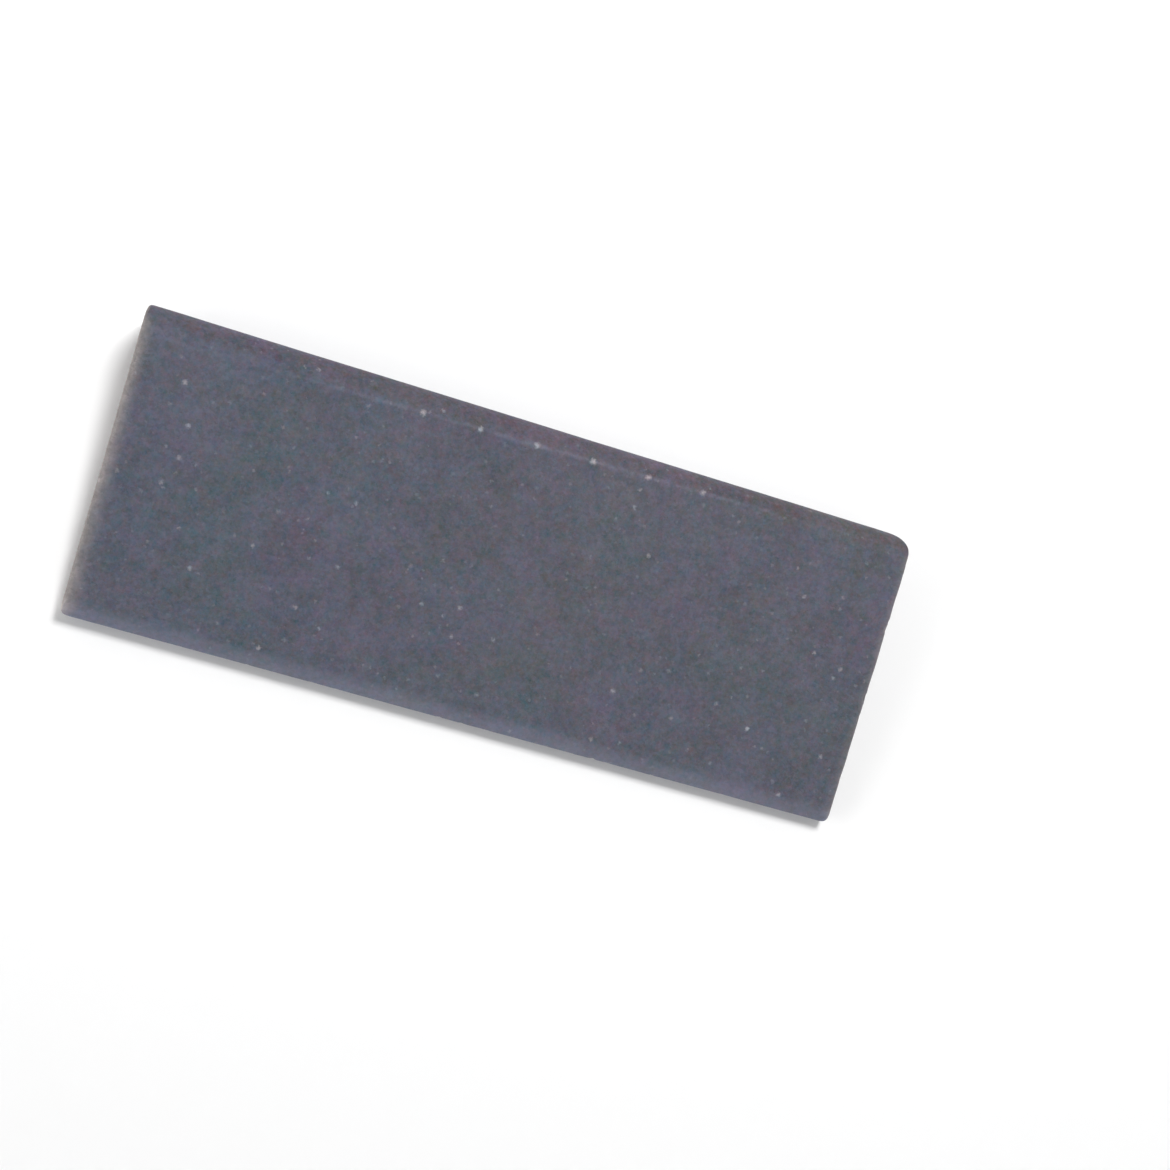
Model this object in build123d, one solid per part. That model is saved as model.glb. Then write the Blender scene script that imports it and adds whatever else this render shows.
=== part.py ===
from build123d import *

import os
from math import atan, cos, degrees, sin, sqrt

# A carver's slip stone: one block of bonded abrasive with a wedge-shaped section.
#
# The thick edge is a wide rounded crown and the thin edge is a narrow rounded nose, so that each
# edge fits inside a gouge of its own sweep. The two broad flanks are flat.
#
# Frame: the stone lies on its lower flank. X runs along its length, Y from the nose to the crown,
# Z up. The origin is at the middle of the bounding box's base. Millimetres.

# Overall size.
LENGTH = 114.3  # end to end, 4 1/2 in
WIDTH = 44.45  # tip of the crown to tip of the nose, along the middle of the wedge, 1 3/4 in

# The wedge. Both thicknesses are measured between the flanks carried on to the tips.
BUTT_THICKNESS = 9.95
NOSE_THICKNESS = 3.05

# The crown is one wide arc with a tighter shoulder on each side, tangent to the flank.
CROWN_RADIUS = 9.5
SHOULDER_RADIUS = 3.5

# The nose is one small arc at the tip with a wider arc on each side, tangent to the flank.
NOSE_TIP_RADIUS = 0.7
NOSE_SIDE_RADIUS = 3.0

# Where a flank meets an end face the edge is rubbed down to a narrow flat. RUN is its reach along
# the flank and DROP is its reach into the end face. The left end (-X) is worn a little more.
LEFT_BREAK_RUN = 0.6
LEFT_BREAK_DROP = 0.5
RIGHT_BREAK_RUN = 0.35
RIGHT_BREAK_DROP = 0.3

# Radii of the four corners seen from above. The crown's right end is worn round.
LEFT_CROWN_CORNER = 1.2
RIGHT_CROWN_CORNER = 3.6
LEFT_NOSE_CORNER = 1.0
RIGHT_NOSE_CORNER = 0.7

# How far a cutting shape reaches past the stone.
CUT_MARGIN = 2.0

# The section's own axes: x runs from the nose to the crown along the middle of the wedge, and y
# through the thickness. The upper flank is a line, given by its normal and its distance from 0, 0.
HALF_ANGLE = atan((BUTT_THICKNESS - NOSE_THICKNESS) / 2 / WIDTH)
FLANK_NORMAL = Vector(-sin(HALF_ANGLE), cos(HALF_ANGLE))
FLANK_ALONG = Vector(cos(HALF_ANGLE), sin(HALF_ANGLE))
FLANK_DISTANCE = (BUTT_THICKNESS + NOSE_THICKNESS) / 4 * cos(HALF_ANGLE)
CROWN_CENTRE = WIDTH / 2 - CROWN_RADIUS
NOSE_CENTRE = NOSE_TIP_RADIUS - WIDTH / 2

# Lying on the lower flank tips the middle of the wedge up by HALF_ANGLE.
CROWN_Y = CROWN_CENTRE * cos(HALF_ANGLE) + CROWN_RADIUS
NOSE_Y = NOSE_CENTRE * cos(HALF_ANGLE) - NOSE_TIP_RADIUS
MIDDLE_Y = (CROWN_Y + NOSE_Y) / 2
HALF_DEPTH = (CROWN_Y - NOSE_Y) / 2


def rounded_edge(centre_x, tip_radius, side_radius, tip_side):
    """The upper half of a rounded edge, as the points its arcs run through.

    tip_side is 1 at the crown and -1 at the nose. The side arc touches the tip arc from within,
    or holds it within when it is the larger of the two, and touches the flank.
    """
    tip_centre = Vector(centre_x, 0)
    order = 1 if tip_radius > side_radius else -1
    inset = FLANK_DISTANCE - side_radius - FLANK_NORMAL.dot(tip_centre)
    reach = sqrt((tip_radius - side_radius) ** 2 - inset**2)
    to_side = FLANK_NORMAL * inset + FLANK_ALONG * (reach * order * tip_side)
    side_centre = tip_centre + to_side
    tip = tip_centre + Vector(tip_radius * tip_side, 0)
    meet = tip_centre + to_side.normalized() * (tip_radius * order)
    flank = side_centre + FLANK_NORMAL * side_radius
    middle = (meet - side_centre).normalized() + FLANK_NORMAL
    on_side = side_centre + middle.normalized() * side_radius
    return tip, meet, on_side, flank


def below(point):
    """The same point on the lower half of the section."""
    return Vector(point.X, -point.Y)


def section():
    """The stone's section: two flat flanks, three arcs at the crown and three at the nose."""
    crown_tip, crown_meet, crown_side, crown_flank = rounded_edge(
        CROWN_CENTRE, CROWN_RADIUS, SHOULDER_RADIUS, 1
    )
    nose_tip, nose_meet, nose_side, nose_flank = rounded_edge(
        NOSE_CENTRE, NOSE_TIP_RADIUS, NOSE_SIDE_RADIUS, -1
    )
    outline = [
        ThreePointArc(below(crown_meet), crown_tip, crown_meet),
        ThreePointArc(crown_meet, crown_side, crown_flank),
        Line(crown_flank, nose_flank),
        ThreePointArc(nose_flank, nose_side, nose_meet),
        ThreePointArc(nose_meet, nose_tip, below(nose_meet)),
        ThreePointArc(below(nose_meet), below(nose_side), below(nose_flank)),
        Line(below(nose_flank), below(crown_flank)),
        ThreePointArc(below(crown_flank), below(crown_side), below(crown_meet)),
    ]
    return make_face(outline)


def blank():
    """The full-length stone with square ends, its section upright about the X axis."""
    across = Plane(origin=(-LENGTH / 2, 0, 0), x_dir=(0, 1, 0), z_dir=(1, 0, 0))
    return extrude(across * section(), amount=LENGTH)


def break_edge(stone, end, flank, run, drop):
    """Rub down the edge between one end face and one flank. end and flank are 1 or -1."""
    normal = Vector(0, FLANK_NORMAL.X, FLANK_NORMAL.Y * flank)
    on_flank = Vector((LENGTH / 2 - run) * end, 0, 0) + normal * FLANK_DISTANCE
    outward = Vector(drop * end, 0, 0) + normal * run
    return split(stone, Plane(origin=on_flank, z_dir=outward), keep=Keep.BOTTOM)


def corner_cutter(end, edge, radius):
    """What is taken off to round one corner, seen from above. end and edge are 1 or -1."""
    x, y = LENGTH / 2, HALF_DEPTH
    rounding = RadiusArc((x - radius, y), (x, y - radius), radius)
    waste = Polyline(
        (x, y - radius),
        (x + CUT_MARGIN, y - radius),
        (x + CUT_MARGIN, y + CUT_MARGIN),
        (x - radius, y + CUT_MARGIN),
        (x - radius, y),
    )
    tall = extrude(make_face([rounding, waste]), amount=BUTT_THICKNESS + CUT_MARGIN, both=True)
    if end < 0:
        tall = mirror(tall, Plane.YZ)
    if edge < 0:
        tall = mirror(tall, Plane.XZ)
    return tall


def slip_stone():
    """The finished stone, lying on its lower flank."""
    stone = blank()
    for flank in (1, -1):
        stone = break_edge(stone, -1, flank, LEFT_BREAK_RUN, LEFT_BREAK_DROP)
        stone = break_edge(stone, 1, flank, RIGHT_BREAK_RUN, RIGHT_BREAK_DROP)
    lying = Pos(0, -MIDDLE_Y, FLANK_DISTANCE) * Rot(degrees(HALF_ANGLE), 0, 0) * stone
    lying -= corner_cutter(-1, 1, LEFT_CROWN_CORNER)
    lying -= corner_cutter(1, 1, RIGHT_CROWN_CORNER)
    lying -= corner_cutter(-1, -1, LEFT_NOSE_CORNER)
    lying -= corner_cutter(1, -1, RIGHT_NOSE_CORNER)
    return lying


os.makedirs("parts", exist_ok=True)
slip_stone_part = slip_stone()
export_step(slip_stone_part, "parts/slip_stone.step")
print("slip_stone", slip_stone_part.bounding_box().size, "volume", slip_stone_part.volume)
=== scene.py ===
import math
import random

import bmesh
import bpy
import numpy as np
from mathutils import Matrix, Vector, noise


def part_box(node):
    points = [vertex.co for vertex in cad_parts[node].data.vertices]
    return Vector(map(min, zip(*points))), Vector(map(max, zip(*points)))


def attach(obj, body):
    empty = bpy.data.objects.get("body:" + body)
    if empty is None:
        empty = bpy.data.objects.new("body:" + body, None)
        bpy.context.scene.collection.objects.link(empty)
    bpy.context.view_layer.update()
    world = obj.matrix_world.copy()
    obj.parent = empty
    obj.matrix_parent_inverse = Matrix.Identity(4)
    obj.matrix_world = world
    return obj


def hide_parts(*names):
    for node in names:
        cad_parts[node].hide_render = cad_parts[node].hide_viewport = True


# The looks of a carver's slip stone: one dense mesh of worn, gritty bonded abrasive that stands for
# the plain CAD solid, on a pale floor under soft light. Shapes are worked out in millimetres in the
# row frame and turned into metres when the mesh is made.

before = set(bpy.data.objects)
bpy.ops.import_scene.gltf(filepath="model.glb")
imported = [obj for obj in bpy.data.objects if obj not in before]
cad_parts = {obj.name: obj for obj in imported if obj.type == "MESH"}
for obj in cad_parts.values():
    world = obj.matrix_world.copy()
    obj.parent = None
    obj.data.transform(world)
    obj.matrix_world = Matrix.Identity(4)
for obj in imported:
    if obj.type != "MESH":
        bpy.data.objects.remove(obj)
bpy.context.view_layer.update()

MM = 0.001
NODE = "slip_stone"
BODY = "root"

low, high = (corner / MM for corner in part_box(NODE))
LENGTH = high.x - low.x
DEPTH = high.y - low.y

# The section, as the CAD holds it.
WIDTH = 44.45
BUTT_THICKNESS = 9.95
NOSE_THICKNESS = 3.05
CROWN_RADIUS = 9.5
SHOULDER_RADIUS = 3.5
NOSE_TIP_RADIUS = 0.7
NOSE_SIDE_RADIUS = 3.0

# The crown is set in a little from the flanks, so that they meet at a faint edge.
CREASE_DEPTH = 0.06
CREASE_REACH = 0.6

# Worn edges between end faces and flanks. Ends are -1 at the left and 1 at the right. A run is how
# far the wear reaches along the flank, and the slope is its reach into the end face for each
# millimetre of run. Uneven parts are a wavelength, a share and a seed.
ARRIS_RADIUS = 0.22
BREAK_RUNS = {-1: 0.6, 1: 0.35}
BREAK_SLOPE = 0.85
BREAK_SOFTNESS = 0.08
BREAK_UNEVEN = ((2.5, 0.4, 9), (9, 0.3, 5))

# Paleness of the wear, partly real wear and partly painted light on the worn edges: how far from a
# worn face it shows, in runs, at mid-width and how much less for each width towards the crown, how
# pale it is where the wear starts, and how fast it falls off.
WEAR_AND_LIGHT_REACH = 2.4
WEAR_AND_LIGHT_LESS_AT_CROWN = 1.2
WEAR_AND_LIGHT_AT_START = 0.9
WEAR_AND_LIGHT_FALL = 1.5

# Radii of the corners seen from above, by end and by edge, which is -1 at the nose and 1 at the
# crown. The mesh around a corner is relaxed that many times, and more around a wide one.
CORNER_RADII = {(-1, 1): 1.2, (1, 1): 3.6, (-1, -1): 1.0, (1, -1): 0.7}
CORNER_RELAXING = 4
WIDE_CORNER = 2.0
WIDE_CORNER_RELAXING = 10
RELAXING_REACH = 0.35
RELAXING_MARGIN = 0.5

# Small damage: how many of each kind, by end or by flank (1 upper, -1 lower), and the least and
# most of its sizes in millimetres. A chip's bite is its depth as a share of its radius. Spans are
# shares of the length or width on each side. Every scoop is uneven by that share of its radius, and
# one of the full depth shows fresh stone fully.
END_CHIPS = {-1: 26, 1: 44}
END_CHIP_RADII = (0.45, 1.3)
END_CHIP_BITES = (0.12, 0.34)
END_CHIP_INSET = 0.4
NOSE_DENTS = 26
CROWN_DENTS = 16
DENT_RADII = (0.7, 1.6)
DENT_DEPTHS = (0.04, 0.13)
DENT_SPAN = 0.48
DENT_ANGLE = 0.5
PITS = {1: 150, -1: 90}
PIT_RADII = (0.5, 1.1)
PIT_DEPTHS = (0.02, 0.07)
PIT_SPAN_ALONG = 0.49
PIT_SPAN_ACROSS = 0.42
SCOOP_UNEVEN = 0.16
SCOOP_MARGIN = 1.2
FULL_CHIP_DEPTH = 0.15

# Waviness of the whole surface, inwards only: a depth, a wavelength and a seed each.
RELIEF = ((0.030, 14, 1), (0.012, 3.4, 2), (0.007, 1.1, 4))

# Pale grains that stand out on the upper flank: place along and across the stone, and strength.
BRIGHT_GRAINS = (
    (41.0, -12.0, 1.0),
    (48.5, -20.0, 0.7),
    (53.0, -13.0, 0.6),
    (-30.0, -19.5, 0.7),
    (-49.5, 12.5, 0.6),
    (20.0, -12.0, 0.6),
    (-47.5, 7.0, 0.6),
    (-42.0, -11.5, 0.6),
    (52.0, 0.0, 0.5),
    (-47.5, 2.5, 0.5),
    (-10.0, -7.5, 0.5),
    (19.0, -19.5, 0.5),
    (29.5, -13.5, 0.4),
    (-37.0, -22.0, 1.3),
)

# The faint edge where the crown leaves the flank, and the row of small nicks along it. A nick is a
# scoop of that radius, with its centre raised that far above the flank.
ARRIS_Y = 18.3
ARRIS_SLOPE = 0.02
NICK_COUNT = 6
NICK_START = -17.4
NICK_PITCH = 8.35
NICK_RADIUS = 0.62
NICK_RISE = 0.5

# Mesh density: how far apart points are, in millimetres, and rows of points in small places. The
# first step from an end face is END_STEP, and each is END_GROWTH times the last. Points closer than
# the merge distance become one.
FLANK_STEP = 0.4
CROWN_STEP = 0.3
NOSE_STEP = 0.24
END_STEP = 0.12
END_GROWTH = 1.1
ARRIS_STEPS = 4
CAP_RINGS = 12
MERGE_DISTANCE = 0.0005

SEED = 20
random.seed(SEED)

half_angle = math.atan((BUTT_THICKNESS - NOSE_THICKNESS) / 2 / WIDTH)
flank_angle = math.pi / 2 + half_angle  # the upper flank's outward normal, in the wedge's own axes
flank_distance = (BUTT_THICKNESS + NOSE_THICKNESS) / 4 * math.cos(half_angle)
crown_centre = np.array([WIDTH / 2 - CROWN_RADIUS, 0.0])
nose_centre = np.array([NOSE_TIP_RADIUS - WIDTH / 2, 0.0])
crown_y = crown_centre[0] * math.cos(half_angle) + CROWN_RADIUS
nose_y = nose_centre[0] * math.cos(half_angle) - NOSE_TIP_RADIUS
middle_y = (crown_y + nose_y) / 2


# ---- the stone's shape ----

def turned(angle):
    """The direction at that angle, in the wedge's own axes."""
    return np.stack([np.cos(angle), np.sin(angle)], axis=-1)


def side_arc_centre(tip_centre, tip_radius, side_radius, tip_side):
    """Centre of the upper side arc, which touches both the tip arc and the flank."""
    inset = flank_distance - side_radius - turned(flank_angle) @ tip_centre
    reach = math.sqrt((tip_radius - side_radius) ** 2 - inset**2)
    order = 1 if tip_radius > side_radius else -1
    along = turned(half_angle) * (reach * order * tip_side)
    return tip_centre + turned(flank_angle) * inset + along


def arc(centre, radius, start, end, step):
    """Points and outward directions along an arc, without its last point."""
    count = max(2, math.ceil(abs(end - start) * radius / step))
    outward = turned(np.linspace(start, end, count, endpoint=False))
    return centre + outward * radius, outward


def straight(start, end, outward, step):
    """Points and outward directions along a straight line, without its last point."""
    count = math.ceil(np.linalg.norm(end - start) / step)
    share = np.arange(count)[:, None] / count
    return start + (end - start) * share, np.tile(outward, (count, 1))


def section_outline():
    """The section once round, as points, outward directions and feet on the wedge's middle line."""
    shoulder = side_arc_centre(crown_centre, CROWN_RADIUS, SHOULDER_RADIUS, 1)
    nose_side = side_arc_centre(nose_centre, NOSE_TIP_RADIUS, NOSE_SIDE_RADIUS, -1)
    crown_meet = math.atan2(*(shoulder - crown_centre)[::-1])
    nose_meet = math.atan2(*(nose_centre - nose_side)[::-1])
    under = np.array([1, -1])
    out = turned(flank_angle)
    crown_end = shoulder + out * SHOULDER_RADIUS
    nose_end = nose_side + out * NOSE_SIDE_RADIUS
    full = 2 * math.pi
    runs = [
        straight(nose_end, crown_end, out, FLANK_STEP),
        arc(shoulder, SHOULDER_RADIUS, flank_angle, crown_meet, CROWN_STEP),
        arc(crown_centre, CROWN_RADIUS, crown_meet, -crown_meet, CROWN_STEP),
        arc(shoulder * under, SHOULDER_RADIUS, -crown_meet, -flank_angle, CROWN_STEP),
        straight(crown_end * under, nose_end * under, out * under, FLANK_STEP),
        arc(nose_side * under, NOSE_SIDE_RADIUS, full - flank_angle, full - nose_meet, NOSE_STEP),
        arc(nose_centre, NOSE_TIP_RADIUS, full - nose_meet, nose_meet, NOSE_STEP),
        arc(nose_side, NOSE_SIDE_RADIUS, nose_meet, flank_angle, NOSE_STEP),
    ]
    points = np.concatenate([run[0] for run in runs])
    outward = np.concatenate([run[1] for run in runs])
    crease = np.clip((points[:, 0] - crown_end[0]) / CREASE_REACH, 0, 1) * CREASE_DEPTH
    points -= outward * crease[:, None]
    feet = points * [1, 0]
    feet[:, 0] = feet[:, 0].clip(nose_end[0], crown_end[0])
    return points, outward, feet


def lying(x, wedge):
    """Points of the wedge's own axes at x, as the stone lies on its lower flank."""
    sine, cosine = math.sin(half_angle), math.cos(half_angle)
    y = wedge[:, 0] * cosine - wedge[:, 1] * sine - middle_y
    z = wedge[:, 0] * sine + wedge[:, 1] * cosine + flank_distance
    return np.stack([np.full(len(wedge), x), y, z], axis=1)


def stations():
    """Distances from one end face at which the side walls have a ring of points, to mid-length."""
    found = [ARRIS_RADIUS]
    step = END_STEP
    while found[-1] < LENGTH / 2:
        found.append(found[-1] + step)
        step = min(step * END_GROWTH, FLANK_STEP)
    stretch = (LENGTH / 2 - ARRIS_RADIUS) / (found[-1] - ARRIS_RADIUS)
    return [ARRIS_RADIUS + (d - ARRIS_RADIUS) * stretch for d in found]


def rings(points, outward, feet):
    """The mesh's rings from the middle of the left end face to the middle of the right one."""
    inner = points - outward * ARRIS_RADIUS
    cap = [inner + (feet - inner) * (1 - k / CAP_RINGS) for k in range(CAP_RINGS)]
    left = [lying(-LENGTH / 2, ring) for ring in cap]
    for k in range(ARRIS_STEPS):
        angle = math.pi / 2 * k / ARRIS_STEPS
        inset = ARRIS_RADIUS * (1 - math.sin(angle))
        x = -LENGTH / 2 + ARRIS_RADIUS * (1 - math.cos(angle))
        left.append(lying(x, points - outward * inset))
    left += [lying(-LENGTH / 2 + d, points) for d in stations()]
    right = [ring * [-1, 1, 1] for ring in reversed(left[:-1])]
    return left + right


def grid_faces(ring_count, ring_size):
    """Quads between each ring and the next, all round."""
    ring, spot = np.meshgrid(np.arange(ring_count - 1), np.arange(ring_size), indexing="ij")
    after = (spot + 1) % ring_size
    a = ring * ring_size + spot
    b = ring * ring_size + after
    return np.stack([a, b, b + ring_size, a + ring_size], axis=-1).reshape(-1, 4)


def bumps(points, wavelength, seed=0):
    """Smooth noise between about -1 and 1, with that wavelength in millimetres."""
    shifted = points / wavelength + seed * 17.3
    return np.array([noise.noise(p) for p in shifted])


def soft_over(distance, softness):
    """How far past a cut a point is, with the cut's edge rounded over that distance."""
    return softness * np.logaddexp(0, distance / softness)


def flank_out(flank):
    """Outward direction of the upper flank (1) or the lower one (-1), as the stone lies."""
    tilt = flank_angle + half_angle if flank > 0 else -math.pi / 2
    return np.array([0, math.cos(tilt), math.sin(tilt)])


def rub_end(points, end, flank):
    """Rub down the edge between one end face and one flank, unevenly.

    Returns how far each point was past the rubbed face.
    """
    uneven = sum((share * bumps(points, size, seed) for size, share, seed in BREAK_UNEVEN), 1)
    run = BREAK_RUNS[end] * uneven
    cut = flank_out(flank) + np.array([BREAK_SLOPE * end, 0, 0])
    size = np.linalg.norm(cut)
    edge = lying(end * LENGTH / 2, turned(flank_angle * flank)[None] * flank_distance)[0]
    past = (points - edge) @ (cut / size) + run * BREAK_SLOPE / size
    points -= (cut / size) * soft_over(past, BREAK_SOFTNESS)[:, None]
    return past


def paleness_of_wear_and_light(points, past, end):
    """Paleness of wear and painted light, from how far each point was past the rubbed face."""
    reach = BREAK_RUNS[end] * (WEAR_AND_LIGHT_REACH - WEAR_AND_LIGHT_LESS_AT_CROWN * points[:, 1] / DEPTH)
    return np.clip(past / reach + WEAR_AND_LIGHT_AT_START, 0, 1) ** WEAR_AND_LIGHT_FALL


def round_corner(points, end, edge, radius):
    """Round one corner as seen from above, and say which points are near it."""
    sign = np.array([end, edge])
    centre = np.array([LENGTH / 2, DEPTH / 2]) - radius
    away = points[:, :2] * sign - centre
    distance = np.linalg.norm(away, axis=1)
    outside = (away.min(axis=1) > 0) & (distance > radius)
    scale = np.where(outside, radius / np.maximum(distance, radius), 1)
    rounded = (centre + away * scale[:, None]) * sign
    points[:, :2] = np.where(outside[:, None], rounded, points[:, :2])
    reach = RELAXING_REACH * radius
    return (away.min(axis=1) > -reach) & (distance > radius - reach - RELAXING_MARGIN)


def smooth(points, pairs, where, times):
    """Relax the chosen points towards their neighbours."""
    count = np.bincount(pairs.ravel(), minlength=len(points))[:, None]
    for _ in range(times):
        total = np.zeros_like(points)
        np.add.at(total, pairs[:, 0], points[pairs[:, 1]])
        np.add.at(total, pairs[:, 1], points[pairs[:, 0]])
        points[where] += 0.5 * (total / count - points)[where]


def scoop(points, centre, radius, chipped):
    """Take a round bite out of the stone, and note how deep each point went."""
    away = points - centre
    distance = np.linalg.norm(away, axis=1)
    near = np.nonzero(distance < radius * SCOOP_MARGIN)[0]
    edge = radius * (1 + SCOOP_UNEVEN * bumps(points[near], 0.5 * radius, 3))
    depth = edge - distance[near]
    bitten = depth > 0
    near, edge = near[bitten], edge[bitten]
    points[near] = centre + away[near] / distance[near][:, None] * edge[:, None]
    chipped[near] = np.maximum(chipped[near], depth[bitten])


def lying_directions(wedge):
    """Directions of the wedge's own axes, as the stone lies on its lower flank."""
    return lying(0, wedge) - lying(0, wedge * 0)


def chip_ends(points, chipped):
    """Small chips along the edges of both end faces."""
    outline, outward, _ = section_outline()
    out = lying_directions(outward)
    for end, count in END_CHIPS.items():
        rim = lying(end * LENGTH / 2, outline)
        for _ in range(count):
            spot = random.randrange(len(rim))
            radius = random.uniform(*END_CHIP_RADII)
            depth = radius * random.uniform(*END_CHIP_BITES)
            away = out[spot] + np.array([end, 0, 0])
            away /= np.linalg.norm(away)
            inset = ARRIS_RADIUS * END_CHIP_INSET
            scoop(points, rim[spot] + away * (radius - depth - inset), radius, chipped)


def dent_edge(points, chipped, tip_angle, centre, tip_radius, count):
    """Shallow dents along the nose or the crown."""
    for _ in range(count):
        out = turned(tip_angle + random.uniform(-DENT_ANGLE, DENT_ANGLE))
        x = random.uniform(-DENT_SPAN, DENT_SPAN) * LENGTH
        spot = lying(x, (centre + out * tip_radius)[None])[0]
        away = lying_directions(out[None])[0]
        radius = random.uniform(*DENT_RADII)
        depth = random.uniform(*DENT_DEPTHS)
        scoop(points, spot + away * (radius - depth), radius, chipped)


def pit_flanks(points, chipped):
    """Open pores and pluck-outs on both flanks."""
    for flank, count in PITS.items():
        away = flank_out(flank)
        base = turned(flank_angle * flank) * flank_distance
        along = turned(half_angle * flank)
        for _ in range(count):
            across = random.uniform(-PIT_SPAN_ACROSS, PIT_SPAN_ACROSS) * WIDTH
            x = random.uniform(-PIT_SPAN_ALONG, PIT_SPAN_ALONG) * LENGTH
            spot = lying(x, (base + along * across)[None])[0]
            radius = random.uniform(*PIT_RADII)
            depth = random.uniform(*PIT_DEPTHS)
            scoop(points, spot + away * (radius - depth), radius, chipped)


def on_upper_flank(x, y):
    """The place on the upper flank at that distance along and across the stone."""
    foot = lying(x, (turned(flank_angle) * flank_distance)[None])[0]
    return x, y, foot[2] + (y - foot[1]) * math.tan(2 * half_angle)


def nicks():
    """Places of the nicks along the edge where the crown leaves the upper flank."""
    for k in range(NICK_COUNT):
        x = NICK_START + NICK_PITCH * k
        yield on_upper_flank(x, ARRIS_Y + ARRIS_SLOPE * x)


def damage(points):
    """Chip, dent, pit and nick the stone. Returns how deep each point went."""
    chipped = np.zeros(len(points))
    chip_ends(points, chipped)
    dent_edge(points, chipped, math.pi, nose_centre, NOSE_TIP_RADIUS, NOSE_DENTS)
    dent_edge(points, chipped, 0.0, crown_centre, CROWN_RADIUS, CROWN_DENTS)
    pit_flanks(points, chipped)
    for place in nicks():
        scoop(points, np.array(place) + [0, 0, NICK_RISE], NICK_RADIUS, chipped)
    return chipped


def rub_down(points, pairs):
    """Wear the ends' edges and round the corners. Returns the paleness of wear and painted light.
    """
    worn_and_lit = np.zeros(len(points))
    for end in (-1, 1):
        for flank in (1, -1):
            past = rub_end(points, end, flank)
            worn_and_lit = np.maximum(worn_and_lit, paleness_of_wear_and_light(points, past, end))
    for (end, edge), radius in CORNER_RADII.items():
        near = round_corner(points, end, edge, radius)
        times = WIDE_CORNER_RELAXING if radius > WIDE_CORNER else CORNER_RELAXING
        smooth(points, pairs, near, times)
    return worn_and_lit


def blank_mesh():
    """The stone before any wear, as a closed mesh in millimetres."""
    outline = section_outline()
    layers = rings(*outline)
    points = np.concatenate(layers)
    faces = grid_faces(len(layers), len(outline[0]))

    work = bmesh.new()
    made = [work.verts.new(p) for p in points]
    for quad in faces:
        work.faces.new([made[i] for i in quad])
    bmesh.ops.remove_doubles(work, verts=work.verts, dist=MERGE_DISTANCE)
    bmesh.ops.recalc_face_normals(work, faces=work.faces)
    mesh = bpy.data.meshes.new("slip_stone_body")
    work.to_mesh(mesh)
    work.free()
    return mesh


def read_all(items, name, width, kind=float):
    """One property of every item, as rows of that width."""
    values = np.empty(len(items) * width, dtype=kind)
    items.foreach_get(name, values)
    return values.reshape(-1, width)


def make_stone():
    """The stone's mesh object, with the paleness of wear and painted light on its edges and its
    chipped places as point attributes.
    """
    mesh = blank_mesh()
    points = read_all(mesh.vertices, "co", 3)
    worn_and_lit = rub_down(points, read_all(mesh.edges, "vertices", 2, np.int64))
    chipped = np.clip(damage(points) / FULL_CHIP_DEPTH, 0, 1)

    mesh.vertices.foreach_set("co", points.ravel())
    mesh.update()
    normals = read_all(mesh.vertex_normals, "vector", 3)
    relief = sum(depth * (bumps(points, size, seed) - 1) for depth, size, seed in RELIEF)
    points += normals * relief[:, None]
    points[:, 2] = np.maximum(points[:, 2], 0)

    mesh.vertices.foreach_set("co", (points * MM).ravel())
    mesh.polygons.foreach_set("use_smooth", np.ones(len(mesh.polygons), dtype=bool))
    for name, values in (("worn_and_lit", worn_and_lit), ("chipped", chipped)):
        attribute = mesh.attributes.new(name, "FLOAT", "POINT")
        attribute.data.foreach_set("value", values.astype(np.float32))
    mesh.update()
    stone = bpy.data.objects.new("slip_stone_body", mesh)
    bpy.context.scene.collection.objects.link(stone)
    return stone


# ---- materials ----

# Linear colours of the bonded grit, of the pale skin that moulding and wear leave, made paler still
# as painted light on the ends and worn edges, of a fresh chip, and of the pale grains.
BODY_COLOUR = (0.0795, 0.0836, 0.1122)
PALE_SKIN_AND_LIGHT = (0.26, 0.232, 0.222)
CHIP_COLOUR = (0.16, 0.155, 0.17)
COOL_GRAIN = (0.52, 0.6, 0.68)
WARM_GRAIN = (0.66, 0.58, 0.58)

# Uneven lightness, warmth and greenness. Each part is a size in millimetres, the noise's detail and
# roughness, and a share.
LIGHT_PARTS = ((1.8, 3, 1.0, 0.95), (7.0, 2, 0.5, 0.45))
WARM_PARTS = ((1.5, 3, 1.0, 1.0), (9.0, 1, 0.5, 0.14))
GREEN_PARTS = ((2.0, 3, 1.0, 0.8), (13.0, 1, 0.5, 0.3))
GREEN_MIDDLE = 0.2
FACET_MM = 0.5
FACET_SHARE = 0.22

# Warm or pale places are less green. Greenness lifts green and lowers red and blue.
GREEN_PER_WARM = -0.6
GREEN_PER_LIGHT = -0.2
GREEN_ON_GREEN = 0.42
GREEN_ON_OTHERS = -0.58

# Across the stone, in millimetres: where the crown's tint and painted shade come in and fade again,
# where the painted light along the nose starts and is palest, and how wide the pale line is where
# the crown leaves the flank.
CROWN_IN = (17.8, 20.0)
CROWN_OUT = (21.1, 22.1)
CROWN_LEFT_OVER = 0.3
# The crown's warmth and greenness are a tint; its light entry is painted shade, darker where the
# crown turns from the light.
CROWN_TINT_AND_SHADE = {"warm": 0.06, "green": -0.05, "light": -0.32}
# Painted light along the nose edge: where it starts and is palest, and how strong it is.
NOSE_LIT_SPAN = (-19.3, -22.1)
NOSE_PAINTED_LIGHT = 1.05
ARRIS_WIDTH = 0.5
ARRIS_LIGHT = 0.38
ARRIS_PATCH_MM = 2.5
ARRIS_PATCHES = (0.35, 0.6, 0.15, 1.0)  # noise from, to, and what shows of the line there

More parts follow.
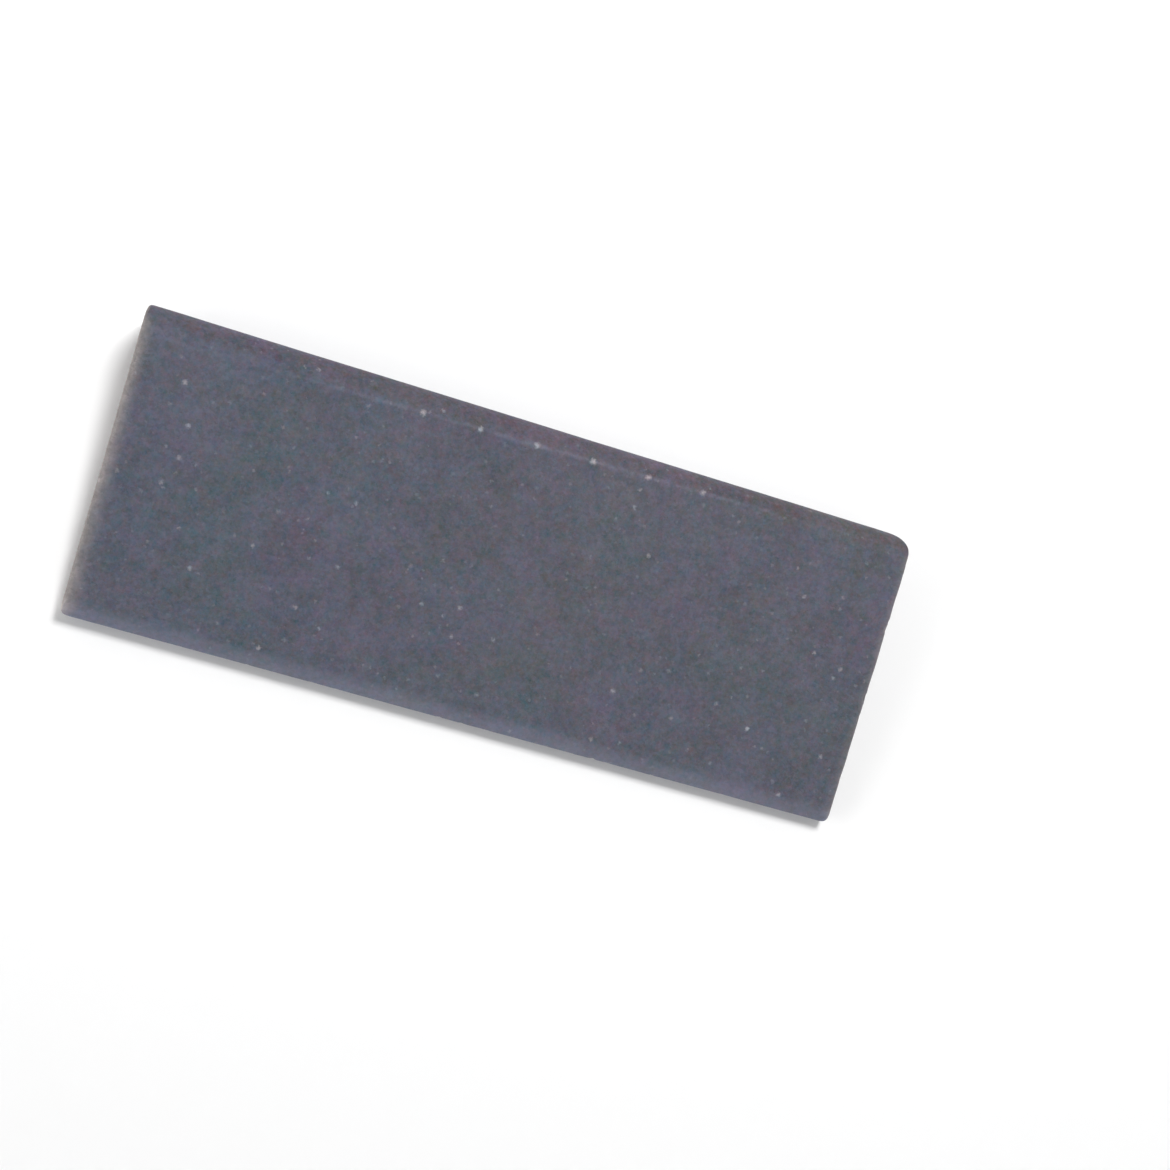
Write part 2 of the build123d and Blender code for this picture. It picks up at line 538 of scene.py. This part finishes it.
# Along the stone, in millimetres: the left end is cooler, and the pale line is clearest mid-length.
COOL_LEFT = (-58, 20)
COOL_TO_WARM = (-0.03, 0.012)
ARRIS_FADE = (20, 50)
ARRIS_FADED = 0.35

# How far in from an end face its pale skin starts and is full, and how much of it shows at the left
# end and at the right one, with the change over the middle. The skin is partly painted light, which
# is why the left end shows more. Worn edges show it likewise, as wear and painted light.
SKIN_AND_LIGHT_IN = (0.5, 0.15)
MIDDLE = (-10, 10)
SKIN_AND_LIGHT_SHARES = (0.95, 0.3)
WEAR_AND_LIGHT_SHARES = (0.75, 0.35)
CHIPPED_SHARE = 0.25

# Pale grains that stand out: radius in millimetres and strength. A nick shows a little pale too.
# The core is the share of a grain's radius at its full strength. Some grains are cool, some warm.
BRIGHT_GRAIN = (0.5, 0.44)
NICK_GRAIN = (0.65, 0.37)
CORE = 0.1
GRAIN_HUE_MM = 1.2
COOL_TO_WARM_GRAINS = (0.42, 0.58)

# Matt grit, unevenly so, with shinier grains.
ROUGHNESS = 0.65
ROUGHNESS_UNEVEN = 0.25
ROUGHNESS_MM = 0.5
GRAIN_SHINE = 0.6
IOR = 1.5

# Grit and pores too fine for the mesh. A pore's wall is in shares of its cell, and the cells with a
# random number past the last pair have one.
GRIT_MM = 0.28
FINEST_GRIT_MM = 0.12
FINEST_GRIT_SHARE = 0.4
PORE_MM = 0.75
PORE_WALL = (0.1, 0.3)
PORES_FROM = (0.7, 0.72)
BUMP_STRENGTH = 0.7
BUMP_MM = 0.05

# The floor's glow comes in from the first distance to the second, in metres.
FLOOR_WHITE = 0.94
FLOOR_GLOW = 0.42
GLOW_SPAN = (0.15, 0.65)
FLOOR_ROUGHNESS = 0.9
FLOOR_SPECULAR = 0.2


class Nodes:
    """A material's node tree, with short calls for the nodes used here."""

    def __init__(self, name):
        self.material = bpy.data.materials.new(name)
        self.material.use_nodes = True
        self.tree = self.material.node_tree
        self.surface = self.tree.nodes["Principled BSDF"]
        self.place = self.tree.nodes.new("ShaderNodeTexCoord").outputs["Object"]
        self.ragged = None

    def add(self, kind, **settings):
        """A new node with those settings."""
        node = self.tree.nodes.new(kind)
        for name, value in settings.items():
            setattr(node, name, value)
        return node

    def link(self, source, target):
        """Feed a socket from another one, or set it to a number or a colour."""
        if isinstance(source, (int, float)):
            target.default_value = source
        elif isinstance(source, tuple):
            target.default_value = (*source, 1.0)[: len(target.default_value)]
        else:
            self.tree.links.new(source, target)

    def maths(self, operation, a, b=0.0, c=0.0, clamp=False):
        """The result of a sum on sockets or numbers."""
        node = self.add("ShaderNodeMath", operation=operation, use_clamp=clamp)
        for value, socket in zip((a, b, c), node.inputs):
            self.link(value, socket)
        return node.outputs[0]

    def noise(self, size_mm, detail=2.0, roughness=0.5, seed=0):
        """Noise from 0 to 1 whose blotches are about that size."""
        shift = self.add("ShaderNodeMapping")
        shift.inputs["Location"].default_value = (seed * 1.31, seed * 0.73, seed * 2.17)
        shift.inputs["Scale"].default_value = (1 / (size_mm * MM),) * 3
        self.link(self.place, shift.inputs["Vector"])
        node = self.add("ShaderNodeTexNoise")
        node.inputs["Scale"].default_value = 1.0
        node.inputs["Detail"].default_value = detail
        node.inputs["Roughness"].default_value = roughness
        self.link(shift.outputs[0], node.inputs["Vector"])
        return node.outputs["Fac"]

    def cells(self, size_mm, seed):
        """Scattered points: distance to the nearest, in cells, and random numbers for each."""
        shift = self.add("ShaderNodeMapping")
        shift.inputs["Location"].default_value = (seed * 1.7, seed * 0.9, seed * 1.3)
        shift.inputs["Scale"].default_value = (1 / (size_mm * MM),) * 3
        self.link(self.ragged_place(), shift.inputs["Vector"])
        node = self.add("ShaderNodeTexVoronoi", feature="F1")
        node.inputs["Scale"].default_value = 1.0
        self.link(shift.outputs[0], node.inputs["Vector"])
        split = self.add("ShaderNodeSeparateColor")
        self.link(node.outputs["Color"], split.inputs[0])
        return node.outputs["Distance"], split.outputs

    def ragged_place(self, size_mm=0.35, reach_mm=0.6):
        """Places shaken about a little, so that what is round comes out as a ragged grain."""
        if not self.ragged:
            fine = self.add("ShaderNodeTexNoise")
            fine.inputs["Scale"].default_value = 1 / (size_mm * MM)
            fine.inputs["Detail"].default_value = 1.0
            self.link(self.place, fine.inputs["Vector"])
            middle = self.add("ShaderNodeVectorMath", operation="SUBTRACT")
            self.link(fine.outputs["Color"], middle.inputs[0])
            middle.inputs[1].default_value = (0.5, 0.5, 0.5)
            shaken = self.add("ShaderNodeVectorMath", operation="MULTIPLY_ADD")
            self.link(middle.outputs[0], shaken.inputs[0])
            shaken.inputs[1].default_value = (reach_mm * MM,) * 3
            self.link(self.place, shaken.inputs[2])
            self.ragged = shaken.outputs[0]
        return self.ragged

    def mottle(self, middle, parts, seed):
        """Uneven about a middle value. Each part is a size, a detail, a roughness and a share."""
        total = middle - 0.5 * sum(part[3] for part in parts)
        for k, (size_mm, detail, roughness, share) in enumerate(parts):
            fac = self.noise(size_mm, detail, roughness, seed + k)
            total = self.maths("MULTIPLY_ADD", fac, share, total)
        return total

    def specks(self, size_mm, radius, rare, strength, seed):
        """Scattered grains, of which that share doesn't show. The rest differ in strength."""
        distance, pick = self.cells(size_mm, seed)
        spot = self.ramp(distance, radius * CORE, radius, 1.0, 0.0)
        level = self.maths("POWER", self.ramp(pick[0], rare, 1.0), 2.0)
        return self.maths("MULTIPLY", self.maths("MULTIPLY", spot, level), strength)

    def speck_at(self, place, radius_mm, strength):
        """One grain at a place in millimetres."""
        gap = self.add("ShaderNodeVectorMath", operation="DISTANCE")
        self.link(self.ragged_place(), gap.inputs[0])
        gap.inputs[1].default_value = Vector(place) * MM
        spot = self.ramp_mm(gap.outputs["Value"], (CORE * radius_mm, radius_mm), 1.0, 0.0)
        return self.maths("MULTIPLY", spot, strength)

    def ramp(self, value, low, high, to_low=0.0, to_high=1.0):
        """value stretched from low..high to to_low..to_high, smoothly and no further."""
        node = self.add("ShaderNodeMapRange", interpolation_type="SMOOTHSTEP")
        for number, socket in zip((value, low, high, to_low, to_high), node.inputs):
            self.link(number, socket)
        return node.outputs[0]

    def ramp_mm(self, value, span_mm, to_low=0.0, to_high=1.0):
        """The same over a span in millimetres, for a value in metres."""
        return self.ramp(value, span_mm[0] * MM, span_mm[1] * MM, to_low, to_high)

    def scaled(self, levels, factors):
        """A colour whose three levels are each scaled by a factor."""
        node = self.add("ShaderNodeCombineColor")
        for level, factor, socket in zip(levels, factors, node.inputs):
            self.link(self.maths("MULTIPLY", factor, level), socket)
        return node.outputs[0]

    def mix(self, share, a, b):
        """Colour a with that share of colour b."""
        node = self.add("ShaderNodeMix", data_type="RGBA")
        self.link(share, node.inputs["Factor"])
        self.link(a, node.inputs[6])
        self.link(b, node.inputs[7])
        return node.outputs[2]

    def attribute(self, name):
        """A value that the mesh holds at each point."""
        return self.add("ShaderNodeAttribute", attribute_name=name).outputs["Fac"]


def arris_line(m, along, across):
    """The faint, patchy pale line where the crown leaves the flank."""
    line = m.maths("MULTIPLY_ADD", along, ARRIS_SLOPE, ARRIS_Y * MM)
    offset = m.maths("ABSOLUTE", m.maths("SUBTRACT", across, line))
    patches = m.noise(ARRIS_PATCH_MM, detail=3.0, roughness=0.7, seed=17)
    patchy = m.ramp(patches, *ARRIS_PATCHES)
    fade = m.ramp_mm(m.maths("ABSOLUTE", along), ARRIS_FADE, 1.0, ARRIS_FADED)
    near = m.ramp_mm(offset, (0, ARRIS_WIDTH), 1.0, 0.0)
    return m.maths("MULTIPLY", near, m.maths("MULTIPLY", patchy, fade))


def grit_colour(m, along, across):
    """How light the bonded grit is at each place, with painted shade on the crown and painted light
    along the nose, and its colour, which goes from mauve to teal.
    """
    light = m.mottle(1.0, LIGHT_PARTS, seed=1)
    _, facets = m.cells(FACET_MM, seed=21)
    light = m.maths("SUBTRACT", light, FACET_SHARE / 2)
    light = m.maths("MULTIPLY_ADD", facets[0], FACET_SHARE, light)
    warm = m.mottle(0.0, WARM_PARTS, seed=4)
    green = m.mottle(GREEN_MIDDLE, GREEN_PARTS, seed=7)
    green = m.maths("MULTIPLY_ADD", warm, GREEN_PER_WARM, green)
    green = m.maths("MULTIPLY_ADD", light, GREEN_PER_LIGHT, green)

    warm = m.maths("ADD", warm, m.ramp_mm(along, COOL_LEFT, *COOL_TO_WARM))
    # A warmer tint and painted shade on the crown band.
    crown = m.maths(
        "MULTIPLY", m.ramp_mm(across, CROWN_IN), m.ramp_mm(across, CROWN_OUT, 1.0, CROWN_LEFT_OVER)
    )
    warm = m.maths("MULTIPLY_ADD", crown, CROWN_TINT_AND_SHADE["warm"], warm)
    green = m.maths("MULTIPLY_ADD", crown, CROWN_TINT_AND_SHADE["green"], green)
    light = m.maths("MULTIPLY_ADD", crown, CROWN_TINT_AND_SHADE["light"], light)
    # Painted light along the nose edge.
    light = m.maths("MULTIPLY_ADD", m.ramp_mm(across, NOSE_LIT_SPAN), NOSE_PAINTED_LIGHT, light)
    light = m.maths("MULTIPLY_ADD", arris_line(m, along, across), ARRIS_LIGHT, light)

    red = m.maths("MULTIPLY_ADD", green, GREEN_ON_OTHERS, m.maths("ADD", light, warm))
    blue = m.maths("MULTIPLY_ADD", green, GREEN_ON_OTHERS, m.maths("SUBTRACT", light, warm))
    green = m.maths("MULTIPLY_ADD", green, GREEN_ON_GREEN, light)
    return light, m.scaled(BODY_COLOUR, (red, green, blue))


def with_pale_skin_and_light(m, colour, light, along):
    """The colour with the pale skin of the end faces and worn edges, partly painted light and
    strongest at the left end, and with fresher chips.
    """
    # Pale skin on the end faces and worn edges, partly real and partly painted light.
    skin_and_light_span = [LENGTH / 2 - distance for distance in SKIN_AND_LIGHT_IN]
    ends = m.ramp_mm(m.maths("ABSOLUTE", along), skin_and_light_span)
    ends = m.maths("MULTIPLY", ends, m.ramp_mm(along, MIDDLE, *SKIN_AND_LIGHT_SHARES))
    edges = m.maths("MULTIPLY", m.attribute("worn_and_lit"), m.ramp_mm(along, MIDDLE, *WEAR_AND_LIGHT_SHARES))
    skin_and_light = m.scaled(PALE_SKIN_AND_LIGHT, (light,) * 3)
    colour = m.mix(m.maths("MAXIMUM", ends, edges), colour, skin_and_light)
    chipped = m.maths("MULTIPLY", m.attribute("chipped"), CHIPPED_SHARE)
    return m.mix(chipped, colour, CHIP_COLOUR)


def pale_grains(m):
    """How much of a pale grain is at each place: many faint ones, some clear ones, a few bright."""
    grains = m.maths(
        "MAXIMUM",
        m.specks(size_mm=2.0, radius=0.22, rare=0.5, strength=0.25, seed=9),
        m.specks(size_mm=1.1, radius=0.3, rare=0.5, strength=0.13, seed=10),
    )
    radius, most = BRIGHT_GRAIN
    for x, y, share in BRIGHT_GRAINS:
        grain = m.speck_at(on_upper_flank(x, y), radius, most * share)
        grains = m.maths("MAXIMUM", grains, grain)
    for place in nicks():
        grains = m.maths("MAXIMUM", grains, m.speck_at(place, *NICK_GRAIN))
    return grains


def grit_bump(m):
    """Grit and pores too fine for the mesh, as a shading normal."""
    grit = m.noise(GRIT_MM, detail=2.0, roughness=0.6, seed=12)
    finest = m.maths("MULTIPLY", m.noise(FINEST_GRIT_MM, detail=0.0, seed=13), FINEST_GRIT_SHARE)
    distance, pick = m.cells(PORE_MM, seed=14)
    hollow = m.ramp(distance, *PORE_WALL, -1.0, 0.0)
    pore = m.maths("MULTIPLY", hollow, m.ramp(pick[1], *PORES_FROM))
    bump = m.add("ShaderNodeBump")
    bump.inputs["Strength"].default_value = BUMP_STRENGTH
    bump.inputs["Distance"].default_value = BUMP_MM * MM
    m.link(m.maths("ADD", m.maths("ADD", grit, finest), pore), bump.inputs["Height"])
    return bump.outputs[0]


def stone_material():
    """Dark blue-grey bonded grit, matt, with pale end faces that are partly painted light, painted
    shade on the crown, painted light along the nose, and grains that glint.
    """
    m = Nodes("bonded_abrasive")
    axes = m.add("ShaderNodeSeparateXYZ")
    m.link(m.place, axes.inputs[0])
    along, across = axes.outputs["X"], axes.outputs["Y"]

    light, colour = grit_colour(m, along, across)
    colour = with_pale_skin_and_light(m, colour, light, along)
    grains = pale_grains(m)
    hue = m.ramp(m.noise(GRAIN_HUE_MM, detail=1.0, seed=19), *COOL_TO_WARM_GRAINS)
    colour = m.mix(grains, colour, m.mix(hue, COOL_GRAIN, WARM_GRAIN))
    m.link(colour, m.surface.inputs["Base Color"])

    uneven = m.noise(ROUGHNESS_MM, detail=2.0, seed=11)
    rough = m.maths("MULTIPLY_ADD", uneven, ROUGHNESS_UNEVEN, ROUGHNESS)
    rough = m.maths("SUBTRACT", rough, m.maths("MULTIPLY", grains, GRAIN_SHINE), clamp=True)
    m.link(rough, m.surface.inputs["Roughness"])
    m.surface.inputs["IOR"].default_value = IOR
    m.link(grit_bump(m), m.surface.inputs["Normal"])
    return m.material


def floor_material():
    """Plain pale paper that glows a little away from the stone, so that it stays pale all round."""
    m = Nodes("pale_floor")
    spread = m.add("ShaderNodeVectorMath", operation="LENGTH")
    m.link(m.place, spread.inputs[0])
    glow = m.ramp(spread.outputs["Value"], *GLOW_SPAN, 0.0, FLOOR_GLOW)
    m.link(glow, m.surface.inputs["Emission Strength"])
    m.surface.inputs["Emission Color"].default_value = (1, 1, 1, 1)
    m.surface.inputs["Base Color"].default_value = (FLOOR_WHITE, FLOOR_WHITE, FLOOR_WHITE, 1)
    m.surface.inputs["Roughness"].default_value = FLOOR_ROUGHNESS
    m.surface.inputs["Specular IOR Level"].default_value = FLOOR_SPECULAR
    return m.material


# ---- the studio ----

# The floor's round cove, in metres: flat out to there, then a quarter-round sweep, then a wall.
FLAT = 0.9
SWEEP = 0.7
WALL = 0.4
STEPS_AROUND = 72
STEPS_UP = 14
FLOOR_MERGE = 1e-5

SKY_STRENGTH = 0.12
SENSOR_MM = 36
LENS_MM = 52.3
CLIP = (0.005, 20)


def make_floor():
    """A pale floor that sweeps up into a round wall far behind the stone on every side."""
    work = bmesh.new()
    profile = [(0.0, 0.0), (FLAT, 0.0)]
    for k in range(1, STEPS_UP + 1):
        angle = math.pi / 2 * k / STEPS_UP
        profile.append((FLAT + SWEEP * math.sin(angle), SWEEP * (1 - math.cos(angle))))
    profile.append((FLAT + SWEEP, SWEEP + WALL))
    chain = [work.verts.new((r, 0, z)) for r, z in profile]
    edges = [work.edges.new(pair) for pair in zip(chain, chain[1:])]
    full_turn = {"cent": (0, 0, 0), "axis": (0, 0, 1), "angle": 2 * math.pi, "steps": STEPS_AROUND}
    bmesh.ops.spin(work, geom=chain + edges, **full_turn)
    bmesh.ops.remove_doubles(work, verts=work.verts, dist=FLOOR_MERGE)
    bmesh.ops.recalc_face_normals(work, faces=work.faces)
    mesh = bpy.data.meshes.new("studio_floor")
    work.to_mesh(mesh)
    work.free()
    mesh.polygons.foreach_set("use_smooth", np.ones(len(mesh.polygons), dtype=bool))
    floor = bpy.data.objects.new("studio_floor", mesh)
    floor.data.materials.append(floor_material())
    bpy.context.scene.collection.objects.link(floor)


def from_above(azimuth, elevation):
    """The direction out to that azimuth and elevation, in degrees. Azimuth 0 is at -Y."""
    a, e = math.radians(azimuth), math.radians(elevation)
    return Vector((math.sin(a) * math.cos(e), -math.cos(a) * math.cos(e), math.sin(e)))


def add_light(name, azimuth, elevation, distance, size, power):
    """A soft square light aimed at the stone."""
    data = bpy.data.lights.new(name, "AREA")
    data.size = size
    data.energy = power
    light = bpy.data.objects.new(name, data)
    out = from_above(azimuth, elevation)
    light.location = out * distance
    light.rotation_mode = "QUATERNION"
    light.rotation_quaternion = (-out).to_track_quat("-Z", "Y")
    bpy.context.scene.collection.objects.link(light)


def light_studio():
    """Soft light from high behind the crown, a low light from the left end, and an even sky."""
    add_light("key", azimuth=163, elevation=54, distance=0.6, size=0.18, power=2.99)
    add_light("side", azimuth=-78, elevation=22, distance=0.7, size=0.5, power=1.8)
    world = bpy.data.worlds.new("studio")
    world.use_nodes = True
    sky = world.node_tree.nodes["Background"]
    sky.inputs["Color"].default_value = (1, 1, 1, 1)
    sky.inputs["Strength"].default_value = SKY_STRENGTH
    bpy.context.scene.world = world
    bpy.context.scene.view_settings.view_transform = "Standard"


def place_camera():
    """Almost straight down, leaning to the nose and the left end, with the stone turned."""
    azimuth, elevation, roll, distance = -58.3, 77.5, 74.0, 0.25
    target = Vector((12.9, 2.2, 0)) * MM
    back = from_above(azimuth, elevation)
    a, r = math.radians(azimuth), math.radians(roll)
    level = Vector((math.cos(a), math.sin(a), 0))
    upward = back.cross(level)
    right = level * math.cos(r) + upward * math.sin(r)
    up = upward * math.cos(r) - level * math.sin(r)
    data = bpy.data.cameras.new("camera")
    data.sensor_width = SENSOR_MM
    data.lens = LENS_MM
    data.clip_start, data.clip_end = CLIP
    camera = bpy.data.objects.new("camera", data)
    turn = Matrix((right, up, back)).transposed().to_4x4()
    camera.matrix_world = Matrix.Translation(target + back * distance) @ turn
    bpy.context.scene.collection.objects.link(camera)
    bpy.context.scene.camera = camera


stone = make_stone()
stone.data.materials.append(stone_material())
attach(stone, BODY)
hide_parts(NODE)
make_floor()
light_studio()
place_camera()
